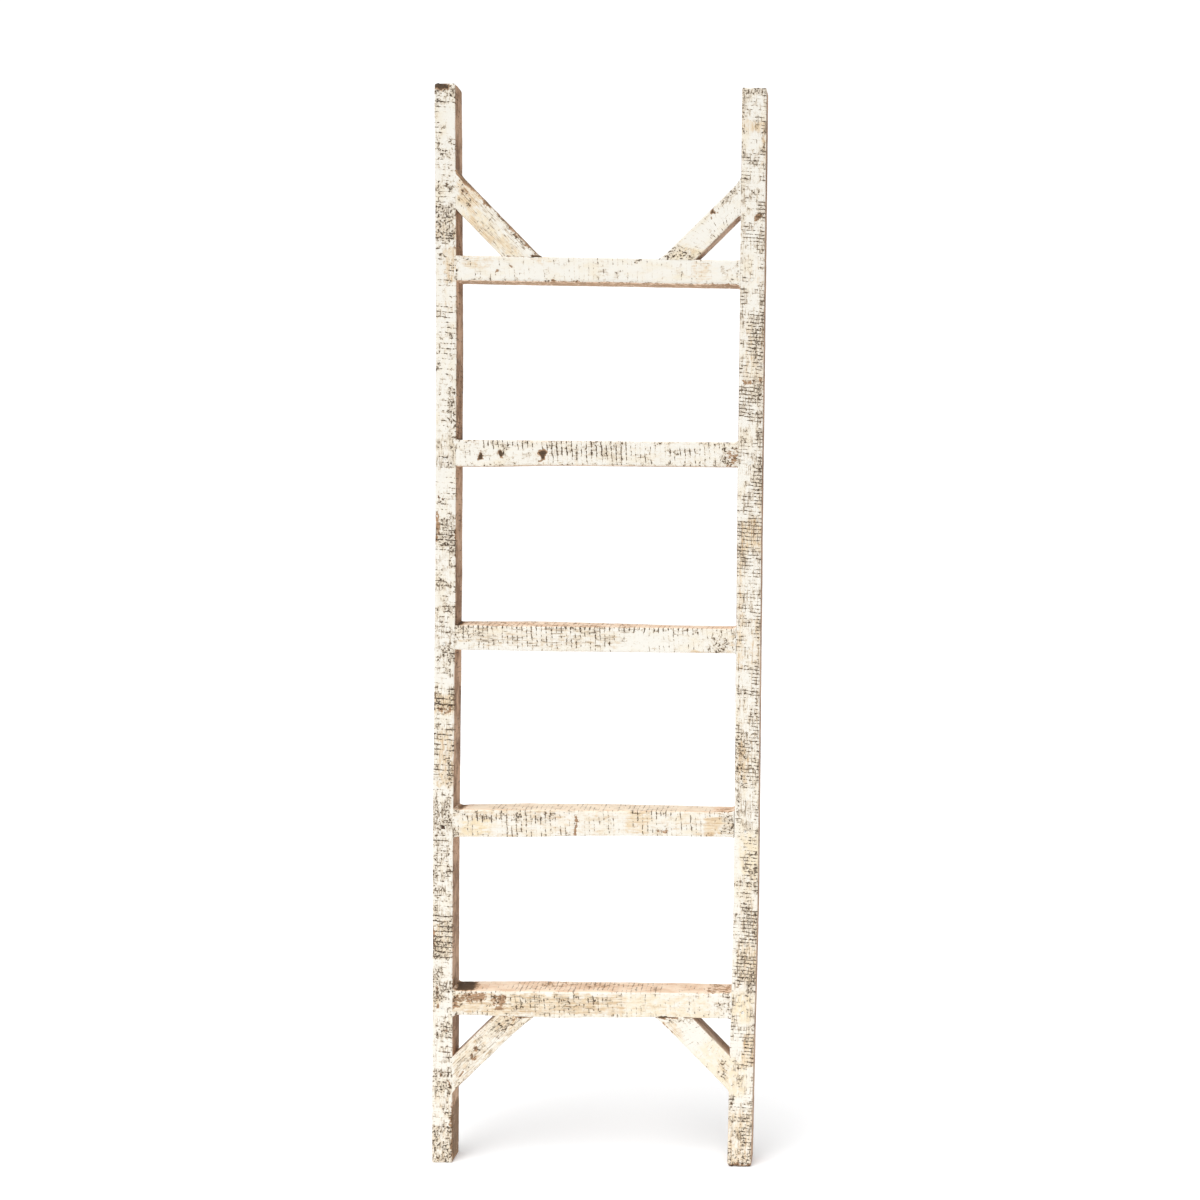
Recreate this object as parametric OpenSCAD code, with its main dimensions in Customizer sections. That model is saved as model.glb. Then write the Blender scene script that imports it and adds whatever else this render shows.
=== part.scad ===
// A free-standing wooden blanket ladder: two rails, five rungs and four corner braces.
// It stands upright, with +Z up the rails, +X to the right seen from the front, and its front
// on -Y. The origin is on the floor, midway across the ladder and midway through its depth.

/* [Frame] */
// Width over both rails
overall_w = 508; // [400:1:700]
// Height of the rails above the even place of the highest rung's middle
top_overhang = 277; // [230:1:400]
// Depth of the rails and rungs, front to back
stock_d = 38; // [34:1:50]
// Face width of the left rail
left_rail_w = 32; // [30:1:60]
// Face width of the right rail
right_rail_w = 38; // [30:1:60]
// Radius worn onto the long edges of the wood
edge_r = 3; // [1:0.5:5]

/* [Rungs] */
// Number of rungs
rung_count = 5; // [3:1:5]
// Height of each rung's face
rung_h = 38; // [34:1:44]
// Height of the lowest rung's middle above the floor
first_rung_z = 258; // [230:1:320]
// Distance from one rung to the next
rung_pitch = 288; // [260:1:300]
// Distance of the highest rung below its even place
top_rung_drop = 5; // [0:1:10]

/* [Joinery] */
// Length of the tenon on each end of a rung
tenon_l = 20; // [12:1:22]
// Height of the tenon
tenon_h = 30; // [28:1:32]
// Thickness of the tenon, front to back
tenon_d = 18; // [12:1:20]
// Space left for glue behind each tenon
glue_gap = 1; // [0.5:0.5:2]

/* [Braces] */
// Reach of the upper left brace along its rail and along its rung
upper_left_brace_leg = 131; // [100:1:150]
// Reach of the upper right brace along its rail and along its rung
upper_right_brace_leg = 121; // [100:1:150]
// Reach of the lower left brace along its rail and along its rung
lower_left_brace_leg = 126; // [100:1:150]
// Reach of the lower right brace along its rail and along its rung
lower_right_brace_leg = 118; // [100:1:150]
// Width of a brace across its face
brace_w = 40; // [30:1:42]
// Depth of a brace, front to back
brace_d = 32; // [24:1:34]

/* [Nails] */
// Diameter of a nail's shank
nail_d = 3; // [2:0.1:4]
// Diameter of a nail's head
nail_head_d = 5.5; // [4.5:0.1:7]
// Thickness of a nail's head
nail_head_h = 1.2; // [0.8:0.1:2]
// Depth of a nail's head below the wood
nail_sink = 0.6; // [0.2:0.1:1.5]
// Length of a nail through a tenon
tenon_nail_l = 30; // [22:1:32]
// Height of the rung's middle above each nail through its tenons
tenon_nail_drop = 11; // [0:1:11]
// Length of a nail through a brace's end
brace_nail_l = 42; // [34:1:44]

/* [Hidden] */
$fn = 48;

overall_h = first_rung_z + (rung_count - 1) * rung_pitch + top_overhang;
half_w = overall_w / 2;
half_d = stock_d / 2;
left_inner_x = -half_w + left_rail_w;
right_inner_x = half_w - right_rail_w;
rung_l = right_inner_x - left_inner_x;
rung_mid_x = (left_inner_x + right_inner_x) / 2;
left_rail_x = -half_w + left_rail_w / 2;
right_rail_x = half_w - right_rail_w / 2;
brace_y = brace_d / 2 - half_d;

// A nail goes in where a brace touches its rail or rung, midway along that contact.
brace_contact = brace_w * sqrt(2);
// The pocket goes deep enough to bury the whole head under the brace's sloping face.
slope_sink = nail_head_d / 2 + nail_sink;

// Rung 1 is the highest.
function rung_z(i) = first_rung_z + (rung_count - i) * rung_pitch - (i == 1 ? top_rung_drop : 0);

// dir is -1 for a left brace and 1 for a right one.
function brace_leg(upper, dir) =
    upper
        ? (dir < 0 ? upper_left_brace_leg : upper_right_brace_leg)
        : (dir < 0 ? lower_left_brace_leg : lower_right_brace_leg);

top_rung_top_z = rung_z(1) + rung_h / 2;
low_rung_bottom_z = rung_z(rung_count) - rung_h / 2;

RAILS = ["left_rail", "right_rail"];
RUNGS = [for (i = [1:rung_count]) str("rung_", i)];
BRACES = ["top_left_brace", "top_right_brace", "bottom_left_brace", "bottom_right_brace"];
TENON_NAILS = [for (i = [1:rung_count]) for (side = ["left", "right"]) str("rung_", i, "_", side, "_nail")];
BRACE_NAILS = [for (b = BRACES) for (into = ["rail", "rung"]) str(b, "_", into, "_nail")];

// A square-sawn bar with worn long edges, along Z from the origin, centred on X and Y.
module bar(w, d, l) {
    linear_extrude(l) {
        square([w - 2 * edge_r, d], center = true);
        square([w, d - 2 * edge_r], center = true);
        for (sx = [-1, 1], sy = [-1, 1])
            translate([sx * (w / 2 - edge_r), sy * (d / 2 - edge_r)]) circle(edge_r);
    }
}

// A round nail along -Z, the top of its head at the origin.
module nail(l) {
    translate([0, 0, -nail_head_h]) cylinder(d = nail_head_d, h = nail_head_h);
    translate([0, 0, -l]) cylinder(d = nail_d, h = l - nail_head_h);
}

// The hole that the nail leaves, open for some way above its head.
module nail_hole(l) {
    nail(l);
    cylinder(d = nail_head_d, h = 2 * slope_sink + 1);
}

// Puts a nail or its hole through the front of a rail and into the tenon of a rung at height z.
module at_tenon(x, z) {
    translate([x, -half_d + nail_sink, z - tenon_nail_drop]) rotate([90, 0, 0]) children();
}

// A block the size of a tenon, reaching from a rail's inner face into the rail.
module tenon(x, z, dir, extra = 0) {
    length = tenon_l + extra;
    translate([x + dir * length / 2, 0, z]) cube([length, tenon_d, tenon_h], center = true);
}

// One rail, with its mortises and its nail holes. dir points from the ladder's middle to the rail.
module rail(x, w, inner_x, dir) {
    difference() {
        translate([x, 0, 0]) bar(w, stock_d, overall_h);
        for (i = [1:rung_count]) {
            tenon(inner_x, rung_z(i), dir, glue_gap);
            at_tenon(x, rung_z(i)) nail_hole(tenon_nail_l);
        }
        for (upper = [true, false])
            at_corner(upper, dir) brace_rail_nail(brace_leg(upper, dir)) nail_hole(brace_nail_l);
    }
}

module left_rail() {
    color("antiquewhite") rail(left_rail_x, left_rail_w, left_inner_x, -1);
}

module right_rail() {
    color("antiquewhite") rail(right_rail_x, right_rail_w, right_inner_x, 1);
}

// One rung between the rails, with a tenon on each end.
module rung(i) {
    z = rung_z(i);
    color("linen") difference() {
        union() {
            translate([left_inner_x, 0, z]) rotate([0, 90, 0]) bar(rung_h, stock_d, rung_l);
            tenon(left_inner_x, z, -1);
            tenon(right_inner_x, z, 1);
        }
        at_tenon(left_rail_x, z) nail_hole(tenon_nail_l);
        at_tenon(right_rail_x, z) nail_hole(tenon_nail_l);
        for (dir = [-1, 1], upper = [true, false])
            if (i == (upper ? 1 : rung_count))
                at_corner(upper, dir) brace_rung_nail(brace_leg(upper, dir)) nail_hole(brace_nail_l);
    }
}

// Moves a shape made in a corner's own frame to its corner. In that frame the rail's face is
// x = 0, the rung's face is z = 0, and the brace fills part of the quarter where both grow.
module at_corner(upper, dir) {
    translate([dir > 0 ? right_inner_x : left_inner_x, brace_y, upper ? top_rung_top_z : low_rung_bottom_z])
        mirror([dir > 0 ? 1 : 0, 0, 0])
            mirror([0, 0, upper ? 0 : 1])
                children();
}

// Puts a nail or its hole through a brace and level into the rail.
module brace_rail_nail(leg) {
    up = leg - brace_contact / 2;
    translate([leg - up - slope_sink, 0, up]) rotate([0, 90, 0]) children();
}

// Puts a nail or its hole through a brace and straight into the rung.
module brace_rung_nail(leg) {
    along = leg - brace_contact / 2;
    translate([along, 0, leg - along - slope_sink]) children();
}

// One brace: a bar at 45 degrees, cut to the corner's two faces and drilled for its nails.
module brace(upper, dir) {
    leg = brace_leg(upper, dir);
    middle = (leg - brace_contact / 2) / 2;
    color("oldlace") at_corner(upper, dir) difference() {
        intersection() {
            translate([middle, 0, middle])
                rotate([0, 135, 0])
                    translate([0, 0, -leg])
                        bar(brace_w, brace_d, 2 * leg);
            translate([0, -brace_d, 0]) cube([leg, 2 * brace_d, leg]);
        }
        brace_rail_nail(leg) nail_hole(brace_nail_l);
        brace_rung_nail(leg) nail_hole(brace_nail_l);
    }
}

module tenon_nail(i, dir) {
    color("dimgray") at_tenon(dir > 0 ? right_rail_x : left_rail_x, rung_z(i)) nail(tenon_nail_l);
}

module brace_nail(upper, dir, into_rail) {
    color("dimgray") at_corner(upper, dir) {
        if (into_rail) brace_rail_nail(brace_leg(upper, dir)) nail(brace_nail_l);
        else brace_rung_nail(brace_leg(upper, dir)) nail(brace_nail_l);
    }
}

left_rail();
right_rail();
for (i = [1:rung_count]) {
    rung(i);
    for (s = [0, 1])
        tenon_nail(i, 2 * s - 1);
}
for (b = [0:3]) {
    upper = b < 2;
    dir = b % 2 == 0 ? -1 : 1;
    brace(upper, dir);
    brace_nail(upper, dir, true);
    brace_nail(upper, dir, false);
}
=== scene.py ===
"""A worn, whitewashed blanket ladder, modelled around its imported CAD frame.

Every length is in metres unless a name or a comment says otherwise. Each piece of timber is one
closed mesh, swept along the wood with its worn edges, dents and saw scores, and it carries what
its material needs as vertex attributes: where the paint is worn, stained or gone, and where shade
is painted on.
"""
import itertools
import math

import bpy
import numpy as np
from mathutils import Euler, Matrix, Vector


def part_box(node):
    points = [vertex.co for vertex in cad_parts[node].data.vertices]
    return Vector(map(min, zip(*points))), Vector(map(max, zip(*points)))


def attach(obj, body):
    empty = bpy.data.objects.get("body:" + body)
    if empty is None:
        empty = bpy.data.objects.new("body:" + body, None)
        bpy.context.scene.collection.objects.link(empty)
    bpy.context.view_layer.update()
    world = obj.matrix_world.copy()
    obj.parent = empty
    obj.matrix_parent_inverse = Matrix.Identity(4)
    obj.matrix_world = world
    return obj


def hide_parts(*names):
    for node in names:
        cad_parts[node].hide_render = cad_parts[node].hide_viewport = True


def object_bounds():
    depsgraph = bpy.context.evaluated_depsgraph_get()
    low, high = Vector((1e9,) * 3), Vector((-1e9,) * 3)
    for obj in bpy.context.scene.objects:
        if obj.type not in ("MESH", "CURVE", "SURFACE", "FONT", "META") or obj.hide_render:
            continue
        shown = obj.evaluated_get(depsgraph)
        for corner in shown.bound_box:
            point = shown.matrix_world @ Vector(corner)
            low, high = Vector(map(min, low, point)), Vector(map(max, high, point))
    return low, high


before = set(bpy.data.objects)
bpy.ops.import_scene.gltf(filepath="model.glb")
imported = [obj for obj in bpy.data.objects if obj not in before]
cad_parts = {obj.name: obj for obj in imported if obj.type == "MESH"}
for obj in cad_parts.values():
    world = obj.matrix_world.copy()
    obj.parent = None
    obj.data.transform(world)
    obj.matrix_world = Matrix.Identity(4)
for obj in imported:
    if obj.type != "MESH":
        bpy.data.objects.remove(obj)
cad_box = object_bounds()

MM = 0.001

# ---- the ladder's parts and joints

# The gap between the rails, which the rungs cross.
GAP_LEFT = Vector(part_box("left_rail")[1]).x
GAP_RIGHT = Vector(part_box("right_rail")[0]).x
RUNGS = [f"rung_{place}" for place in range(1, 6)]
CORNERS = ["top_left", "top_right", "bottom_left", "bottom_right"]

# How far a rung or a brace runs into its neighbour, so that no worn edge opens the joint.
BEDDED = 1.6 * MM

BRACE_WIDTH = 40 * MM

KINDS = ("saw", "pits", "lines", "tan", "bare", "yellow")

# The mesh of a timber: the distance between its rings, and how many points lie on half of a wide
# side and on half of a deep side of a ring. The short timbers have the fine one.
RAIL_STEPS = (1.4 * MM, (11, 6))
FINE_STEPS = (1.0 * MM, (11, 8))

# How far apart two places may be and still count as one.
TINY = 1e-6

# ---- where the wood is worn, and where shade is painted onto it
#
# Each table lists its patches under their kind: "saw" is rows of saw marks across the wood, "pits"
# a speckle of pits, "lines" scratches along it, and "tan" and "yellow" stains. The kind for bare wood
# marks lost paint, and in the patches noted below it also marks painted shade.
# A patch is (start, end, low side, high side, strength).
# On a rail, start and end are heights in millimetres. On a rung they are shares of its length from
# the left, and on a brace shares of its length from the rail.
# The sides run from -1 to 1 over the face: left to right on a rail, bottom to top on a rung, and
# inner edge to outer edge on a brace. Past 1 they go on over the side that turns away there.

RAIL_PATCHES = {
    "left_rail": {
        "saw": [
            (1651, 1663, -1, 1, 0.6), (1558, 1573, -0.9, 0.9, 0.5), (1442, 1462, -1, 0.8, 0.7),
            (963, 1006, -1, 0.6, 0.7), (716, 746, -1, 1, 0.9), (702, 712, -1, 1, 0.4),
            (649, 694, -1, 1, 0.65), (610, 640, -1, 1, 0.7), (511, 516, -1, 0.9, 0.9),
            (488, 511, -0.6, 0.8, 0.6), (450, 506, -0.9, 0.9, 0.5), (404, 440, -1, 1, 0.45),
            (328, 399, -1, 1, 0.85), (332, 342, -1, 1, 1), (166, 194, -0.3, 1, 0.5)],
        "pits": [
            (1666, 1685, -1, 1, 0.8), (1651, 1663, -1, -0.3, 0.8), (1556, 1606, -0.9, 0.9, 0.55),
            (1518, 1542, -1, 0.9, 0.7), (1503, 1518, -0.8, 0.9, 0.4), (1442, 1503, -1, 0.95, 0.95),
            (1291, 1306, -0.8, 0.8, 0.4), (1246, 1274, -1, -0.5, 0.6), (1156, 1223, 0, 1, 0.8),
            (1101, 1156, 0.1, 1, 0.6), (1046, 1062, -0.9, 0, 0.7), (963, 1028, -0.4, 1, 0.85),
            (911, 925, -0.8, 0.8, 0.6), (866, 886, -0.9, 0.9, 0.7), (825, 857, -1, 1, 0.5),
            (790, 828, -0.6, 1, 0.85), (714, 746, -1, 1, 0.8), (595, 650, -0.6, 1, 0.5),
            (556, 581, -1, 0.8, 1), (526, 562, -1, 0.9, 0.85), (450, 506, -0.9, 0.9, 0.65),
            (400, 448, -1, 1, 0.5), (328, 388, -1, 1, 0.8), (256, 316, -1, 0.1, 0.9),
            (268, 294, -1, 1, 0.9), (202, 230, -0.8, 0.9, 0.9), (108, 152, -0.7, 1, 0.7),
            (26, 116, 0, 1, 0.5), (0, 60, -1, 1, 0.9), (1090, 1350, 1, 1.8, 0.75),
            (570, 1000, 1, 1.5, 0.7), (300, 520, 1, 1.5, 0.55), (1506, 1606, 1, 1.5, 0.6)],
        "lines": [(1096, 1156, -1, 1, 0.6), (346, 466, -0.6, 0.8, 0.4), (0, 1000, -1, 1, 0.3)],
        "bare": [
            (1675, 1690, -1, 0.5, 0.95), (1434, 1446, 0.6, 1, 0.5), (1046, 1060, -0.9, -0.1, 0.55),
            (981, 1033, -1, -0.5, 0.65), (715, 727, -0.7, 0.9, 0.62), (333, 384, -1, -0.72, 0.7),
            (262, 290, -0.9, -0.2, 0.55), (246, 255, -0.6, -0.3, 0.9), (208, 216, 0.1, 0.6, 0.6),
            (132, 150, -0.4, 0, 0.7), (108, 140, 0.6, 0.95, 0.65), (8, 96, 0.78, 1, 0.75),
            # (0, 96, 1, 3.4, 0.76) darkens the whole inner side at the foot: bare wood, and painted
            # shade.
            (0, 96, 1, 3.4, 0.76), (955, 1010, 1, 1.5, 0.65), (1130, 1250, 1, 1.7, 0.55),
            (838, 866, 1, 1.9, 0.6), (268, 300, 1, 2.2, 0.75), (1426, 1442, 1, 2.4, 0.6)],
        "tan": [
            (1442, 1486, -1, 1, 0.5), (1381, 1438, -0.3, 1, 0.7), (1334, 1358, -0.3, 0.9, 0.5),
            (712, 748, -1, 1, 0.8), (595, 694, -0.7, 1, 0.7), (328, 390, -1, 1, 0.6),
            (242, 268, -1, 0, 0.6), (70, 126, -1, 1, 0.4), (0, 60, -1, 1, 0.5),
            (1386, 1687, 1.1, 2.2, 0.5), (0, 1240, -1, 1, 0.18)],
    },
    "right_rail": {
        "saw": [
            (1636, 1666, -0.9, 0.9, 0.45), (1566, 1590, -0.9, 0.9, 0.45), (1484, 1514, 0.1, 1, 0.8),
            (1438, 1482, -0.8, 0.9, 0.6), (1274, 1346, -0.3, 1, 0.8), (1240, 1272, -1, 0.6, 0.6),
            (1176, 1232, -1, 0.4, 0.85), (1028, 1086, -0.6, 1, 0.65), (990, 1028, -1, 1, 0.9),
            (931, 990, -1, 0.8, 0.6), (857, 931, -1, 1, 0.45), (788, 797, -0.6, 0.5, 0.9),
            (744, 760, -0.7, 1, 0.85), (701, 728, 0, 1, 0.6), (602, 702, -0.6, 1, 0.6),
            (431, 464, -0.8, 0.8, 0.45), (350, 414, -0.5, 1, 0.8), (290, 340, -0.7, 1, 0.95),
            (160, 216, 0.1, 1, 0.9), (70, 116, 0, 1, 0.7), (0, 72, -0.1, 1, 0.65)],
        "pits": [
            (1675, 1685, -1, 1, 0.9), (1576, 1671, -1, -0.8, 0.8), (1566, 1596, -0.3, 0.9, 0.6),
            (1506, 1536, 0, 0.5, 0.5), (1274, 1346, 0.2, 1, 0.5), (1161, 1231, 0.4, 0.9, 0.8),
            (1090, 1130, -0.2, 1, 0.5), (600, 684, -1, -0.1, 0.85), (539, 588, -0.4, 0.4, 0.4),
            (290, 320, -0.7, 1, 0.7), (268, 296, 0, 1, 0.6), (0, 26, -1, 1, 0.9),
            (16, 116, -0.95, -0.6, 0.6), (284, 480, -0.7, 1, 0.5), (20, 112, -1, 1, 0.42)],
        "lines": [
            (1438, 1482, -0.8, 0.9, 0.5), (1381, 1436, -0.7, 0.9, 0.5), (975, 1028, -0.5, 0.4, 0.8),
            (806, 1006, -0.5, 0, 0.6), (766, 846, -0.1, 0.1, 0.9), (539, 588, -0.3, 0.5, 0.9),
            (560, 1687, -1, 1, 0.4), (0, 430, -1, 1, 0.35)],
        "bare": [
            (1483, 1495, 0, 0.7, 0.75), (1232, 1242, -0.9, 0.8, 0.6), (1166, 1228, 0.55, 0.8, 0.35),
            (845, 925, -0.9, -0.55, 0.52), (-6, 7, -1, 1, 0.8)],
        "tan": [
            (1618, 1638, -1, 1, 0.8), (1566, 1636, 0.6, 1, 0.6), (1386, 1431, -0.5, 1, 0.4),
            (1233, 1326, -0.6, 1, 0.5), (1016, 1086, 0.5, 1, 0.6), (972, 1028, -0.8, 1, 0.7),
            (790, 985, -0.95, -0.4, 0.75), (795, 876, 0.1, 1, 0.6), (610, 680, -0.9, 0.2, 0.7),
            (290, 356, -0.2, 1, 0.7), (158, 216, 0, 1, 0.8), (0, 92, -1, 1, 0.65),
            (284, 470, -0.7, 1, 0.42), (560, 800, -1, 1, 0.32)],
        "yellow": [(464, 531, -0.5, 1, 0.8), (231, 281, -1, 0.8, 0.9), (116, 171, -1, 0.4, 0.8)],
    },
}
RUNG_PATCHES = {
    "rung_1": {
        "pits": [
            (0.5, 0.6, -0.8, 0.1, 0.45), (0.63, 0.65, 0.5, 0.9, 1), (0.78, 0.8, 0.3, 0.8, 0.7),
            (0.93, 0.99, -0.9, 0.6, 0.45), (0.02, 1, -1.3, -0.9, 0.7)],
        "bare": [
            (0.15, 0.163, -0.2, 0.15, 0.85), (0.193, 0.207, 0, 0.4, 0.85), (0.25, 1, -1.3, -0.9, 0.55),
            (0.85, 1, -2.5, -1, 0.7)],
        "tan": [(0.02, 0.14, 0, 1, 0.6), (0.27, 0.34, 0.3, 1, 0.6), (0.82, 0.9, -0.8, 0.8, 0.6)],
    },
    "rung_2": {
        "saw": [
            (0.09, 0.28, 0.3, 1, 0.7), (0.32, 0.42, -0.2, 1, 0.85), (0.42, 0.62, -0.6, 0.9, 0.7),
            (0.66, 0.7, -0.8, 0.9, 0.5), (0.75, 0.87, -0.2, 0.6, 0.75)],
        "pits": [
            (0.08, 0.34, -0.6, 0.4, 0.5), (0.94, 1, -1, 0.7, 0.7), (0.02, 1, 0.85, 1.1, 0.85),
            (0.02, 0.95, -1.1, -0.85, 0.75)],
        "bare": [
            (0.088, 0.105, -0.6, 0.1, 1), (0.153, 0.172, -0.5, 0.2, 1), (0.3, 0.325, -0.6, 0.4, 1),
            # (0, 0.03, 0.95, 3, 0.9) darkens the top at the left rail: bare wood, and painted shade in
            # the corner.
            (0.955, 1, -1, 0.6, 0.6), (0, 0.03, 0.95, 3, 0.9)],
        "tan": [(0.2, 1, -1, 1, 0.32)],
    },
    "rung_3": {
        "saw": [(0.02, 0.57, -0.7, 0.8, 0.42), (0, 0.88, 0.6, 1, 0.75), (0, 1, 1, 3, 0.45)],
        "pits": [(0, 0.12, -0.5, 0.8, 0.6), (0.9, 0.98, -1, 0.4, 0.7)],
        "lines": [(0.05, 0.62, -0.8, 0.9, 0.35), (0.1, 0.4, -0.8, 0, 0.5)],
        # (0, 0.03, 0.9, 3, 0.9) darkens the top at the left rail: bare wood, and painted shade in the
        # corner.
        "bare": [(0.04, 0.64, 1, 3, 0.44), (0, 0.03, 0.9, 3, 0.9)],
        "tan": [(0.82, 0.9, -1, -0.7, 0.8), (0.96, 1, -1, 0.5, 0.6), (0, 0.6, -0.8, 0.9, 0.45)],
    },
    "rung_4": {
        "saw": [(0.03, 0.38, -0.1, 0.7, 0.7), (0.62, 0.8, 0.6, 1, 0.7), (0.12, 0.8, 1.1, 3, 0.5)],
        "pits": [
            (0.03, 0.38, 0, 0.9, 0.6), (0.355, 0.37, 0.2, 0.6, 1), (0.955, 1, -0.9, 1, 0.85),
            (0.03, 0.5, 0.9, 1.1, 0.6)],
        "lines": [(0, 1, 1.05, 3, 0.5)],
        "bare": [
            (0.428, 0.446, -1, 0.8, 0.72), (0.7, 0.8, -0.8, -0.4, 0.5), (0.9, 0.94, -0.9, 0.4, 0.42),
            # (0, 0.04, 1, 3, 0.8) darkens the top at the left rail: bare wood, and painted shade in the
            # corner.
            (0, 0.04, 1, 3, 0.8), (0.92, 1, 1, 2.4, 0.5)],
        "tan": [
            (0.05, 0.42, 0.3, 1, 0.6), (0.43, 0.62, -1, 1, 0.5), (0.61, 0.71, -0.8, 1, 0.8),
            (0.89, 0.96, -0.9, 0.8, 1), (0, 1, -1, 1, 0.45)],
        "yellow": [(0.03, 0.14, -0.9, 0.2, 1), (0.06, 0.92, 1.05, 3, 0.8)],
    },
    "rung_5": {
        "saw": [(0.2, 0.6, -0.6, 0.7, 0.45), (0.2, 0.75, 1.1, 3, 0.6)],
        "pits": [
            (0, 0.2, -0.4, 0.9, 0.6), (0.2, 0.6, -0.5, 0.7, 0.5), (0.93, 0.99, -0.6, 0.3, 0.7),
            (0.8, 1, 0.7, 1, 0.6), (0.03, 0.62, -1, 0.8, 0.35)],
        "lines": [(0.18, 0.62, -0.8, 0.8, 0.5)],
        "bare": [
            (0.02, 0.13, 0, 0.8, 0.62), (0.14, 0.2, -0.6, 0.8, 0.6), (0, 0.03, -0.5, 0.6, 0.7),
            # (0, 0.08, 1, 3, 0.9) darkens the top at the left rail: bare wood, and painted shade in the
            # corner.
            (0, 0.08, 1, 3, 0.9), (0.9, 1, 1, 3, 0.54), (0.3, 0.6, 1.8, 3, 0.45)],
        "tan": [(0, 0.62, -0.9, 0.8, 0.8), (0, 1, -1, 1, 0.36)], "yellow": [(0.6, 0.92, -1, 0.8, 0.6)],
    },
}
# Every rung is also worn at its ends, where the rails meet it, and dark brown all over its underside:
# bare wood, darkened further as painted shade under the rung.
RUNG_END_PATCHES = {
    "pits": [(0, 0.015, -1, 1, 0.8), (0.985, 1, -1, 1, 0.8), (0, 0.06, 0.6, 1, 0.6)],
    "bare": [(0, 1, -3.5, -1.2, 0.68)],
}
BRACE_PATCHES = {
    "top_left": {
        "pits": [(0.05, 0.26, -0.3, 0.9, 0.6), (0.45, 1, 0.7, 1, 0.75)], "lines": [(0.2, 1, -1, 1, 0.6)],
        "bare": [
            (0.08, 0.2, 0.1, 0.7, 0.62), (0.22, 0.28, -0.2, 0.2, 0.55), (0, 0.45, 0.74, 2.6, 0.75),
            (0.45, 1, 0.85, 2.6, 0.7), (0.968, 1.04, -1, 1, 1)],
        "tan": [(0.28, 0.75, -1, -0.4, 0.85), (0.04, 0.34, -0.4, 1, 0.85), (0.7, 0.95, -0.6, 0.4, 0.6)],
        "yellow": [(0.15, 0.95, -1, 0.2, 0.7)],
    },
    "top_right": {
        "pits": [(0, 0.25, 0.3, 1, 0.75), (0.8, 1, -1, 1, 0.8)],
        "bare": [(0.325, 0.385, 0.45, 0.95, 0.9), (0.37, 0.42, 0.2, 0.5, 0.8)],
        "tan": [(0.8, 0.9, -0.5, 0.3, 0.7)], "yellow": [(0.78, 1, -1, 0.6, 0.8)],
    },
    "bottom_left": {
        "pits": [(0, 1, 0.8, 1.2, 0.75), (0.04, 0.48, -0.4, 0.8, 0.6), (0.7, 0.97, -0.4, 0.7, 0.75)],
        "lines": [(0, 1, -1, 1, 0.65)],
        "bare": [
            (0, 1, 0.93, 2.6, 0.5), (0.09, 0.17, 0.1, 0.6, 0.75), (0.37, 0.44, -0.5, 0, 0.85),
            (0.29, 0.37, -0.1, 0.5, 0.58), (0.87, 0.94, 0, 0.4, 0.58), (0.945, 1.04, -1, 1, 1)],
        "tan": [(0, 1, -1, 1, 0.52), (0.7, 0.97, -0.4, 0.7, 0.7)],
    },
    "bottom_right": {
        "pits": [(0.02, 0.2, -0.6, 0.8, 0.7), (0.85, 1, -1, 0.8, 0.65)],
        "bare": [(0.72, 0.92, 0.72, 1, 0.6), (0.966, 1.04, -1, 1, 0.9)],
        "tan": [(0.02, 0.2, -0.4, 0.6, 0.6), (0.7, 0.95, 0.2, 1, 0.7)], "yellow": [(0, 0.5, -1, 1, 0.6)],
    },
}
# How much wider or narrower than the rest each brace is.
BRACE_WIDER = {"top_left": 2.0 * MM, "top_right": -2.5 * MM, "bottom_left": 0.5 * MM, "bottom_right": 0}

# The distance from one row of saw marks to the next.
SAW_PITCH = {"left_rail": 8.0 * MM, "right_rail": 5.6 * MM, "rung": 7.6 * MM, "brace": 7.0 * MM}

# How the real timbers stray from straight, as (place, offset). A rail's places are heights in
# millimetres, a rung's are shares of its length, and every offset is in millimetres.
RAIL_BEND = {
    "left_rail": [(0, 0), (500, -0.5), (940, 2.2), (1300, 2.4), (1560, 0), (1687, -1.2)],
    "right_rail": [(0, -2.6), (115, -1.6), (420, 2.6), (700, 1.9), (1000, 1.2), (1300, 1.5), (1687, 1.2)],
}
RUNG_BEND = {
    "rung_1": [(0, 0.6), (1, -0.6)],
    "rung_2": [(0, 0.2), (1, 2.6)],
    "rung_3": [(0, 0), (1, 0.6)],
    "rung_4": [(0, -1.2), (0.5, 0.2), (1, 0.8)],
    "rung_5": [(0, -0.8), (1, 1.4)],
}

# How far the back of each rung's top stands up, as (share of the length, height) in millimetres.
RUNG_CROWN = {
    "rung_1": [(0, 0), (1, 0)],
    "rung_2": [(0, 1), (1, 0)],
    "rung_3": [(0, 3.5), (0.25, 5), (0.55, 3.5), (0.8, 1.5), (1, 1.5)],
    "rung_4": [(0, 0), (0.1, 1), (0.25, 3), (0.5, 3), (0.75, 2), (0.9, 1), (1, 1)],
    "rung_5": [(0, 2.5), (0.3, 3.5), (0.6, 3.5), (1, 2)],
}

# How far each rung's lower side hangs down, as (share of the length, depth) in millimetres.
RUNG_HANG = {
    "rung_1": [(0, 0), (1, 0)],
    "rung_2": [(0, 3), (0.14, 2.6), (0.3, 0), (1, 0)],
    "rung_3": [(0, 0), (0.35, 0.8), (1, 0)],
    "rung_4": [(0, 5.5), (0.25, 5), (0.45, 2.5), (0.6, 1.2), (1, 1.5)],
    "rung_5": [(0, 0.5), (0.36, 4), (0.5, 3.2), (0.75, 1.5), (1, 2.5)],
}

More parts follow.
